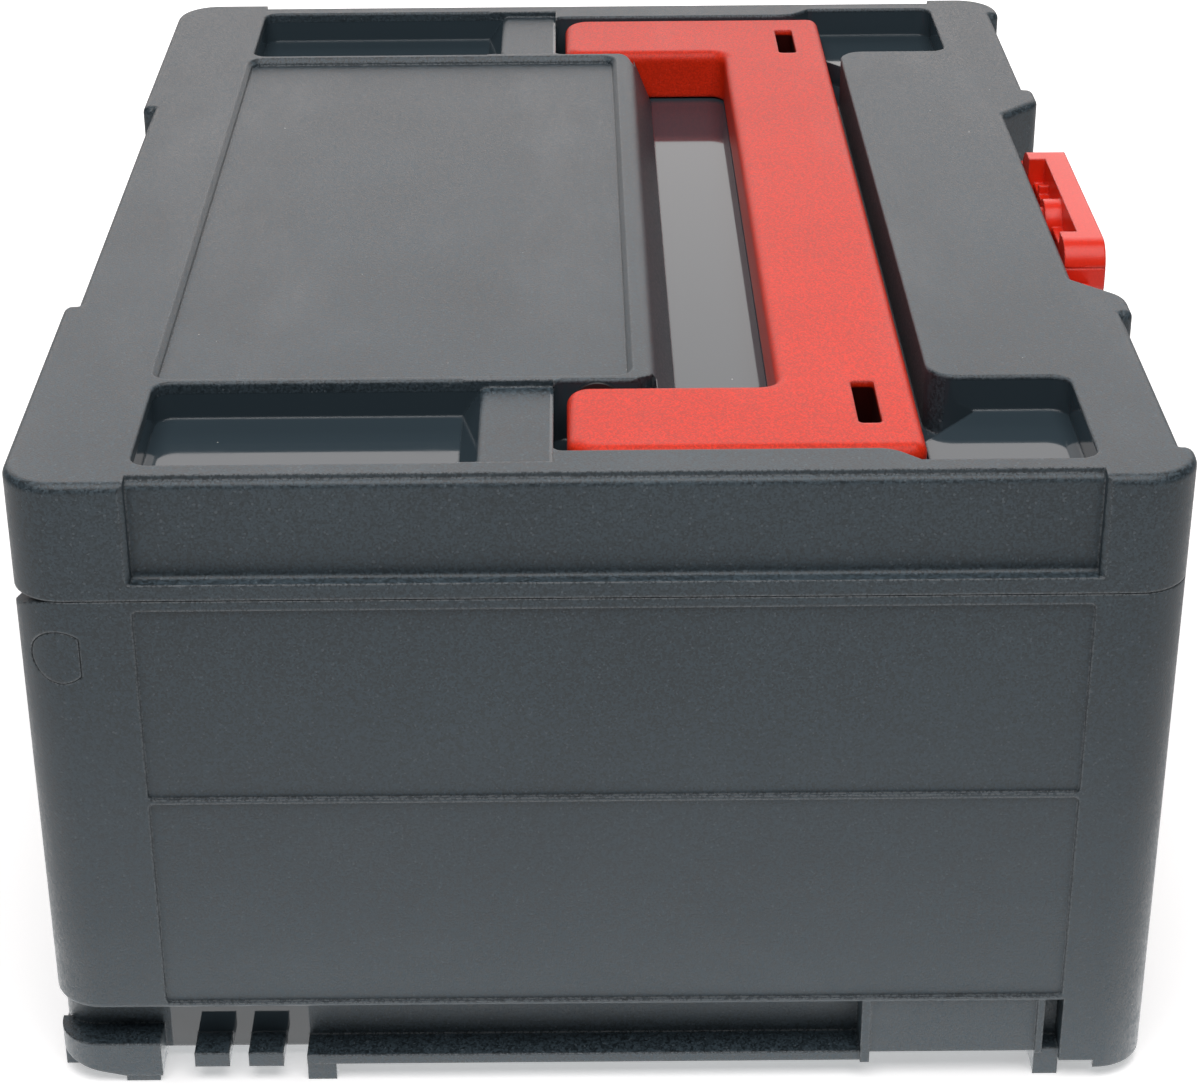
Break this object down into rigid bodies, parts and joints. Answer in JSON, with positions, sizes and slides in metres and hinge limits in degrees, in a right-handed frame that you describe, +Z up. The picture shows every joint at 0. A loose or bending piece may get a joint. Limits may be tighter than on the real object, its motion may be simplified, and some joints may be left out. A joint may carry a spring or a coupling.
{
  "type": "stackable tool case",
  "caption": "Rectangular stackable tool case: moulded tub and hinged lid with a label panel, stacking pockets, a folding U-shaped carry handle and a turning front latch.",
  "frame": {"origin": "centre of the rectangle the case stands on, at the bottom of its feet", "axes": "+X along the long side, +Y towards the hinges at the rear, +Z up; the latch is on the -Y side"},
  "size_m": [0.396, 0.2976, 0.1824],
  "materials": {
    "shell_grey": "fine-grained matt moulded plastic",
    "handle_red": "fine-grained moulded plastic, red",
    "latch_red": "satin moulded plastic, red",
    "dark_plastic": "smooth black plastic",
    "steel": "turned steel",
    "spring_steel": "rolled spring steel"
  },
  "bodies": {
    "tub": {"lower_body": "shell_grey", "catch_plate": "dark_plastic", "catch_screws": "steel", "hinge_pin_near": "steel", "hinge_pin_far": "steel", "hinge_plug_near": "shell_grey", "hinge_plug_far": "shell_grey"},
    "lid": {"lid_shell": "shell_grey", "latch_bezel": "latch_red", "bezel_screws": "steel", "detent_spring": "spring_steel", "handle_pin_near": "steel", "handle_pin_far": "steel", "handle_bush_near": "dark_plastic", "handle_bush_far": "dark_plastic"},
    "handle": {"carry_handle": "handle_red"},
    "latch": {"latch_knob": "latch_red", "latch_washer": "steel", "latch_screw": "steel"}
  },
  "joints": [
    {"name": "lid_hinge", "type": "hinge", "parent": "tub", "child": "lid", "pos_m": [0, 0.136, 0.134], "axis": [-1, 0, 0], "range_deg": [0, 100]},
    {"name": "handle_fold", "type": "hinge", "parent": "lid", "child": "handle", "pos_m": [0, 0, 0.1745], "axis": [-1, 0, 0], "range_deg": [0, 90]},
    {"name": "latch_turn", "type": "hinge", "parent": "lid", "child": "latch", "pos_m": [0, -0.135, 0.172], "axis": [0, -1, 0], "range_deg": [0, 180]}
  ]
}
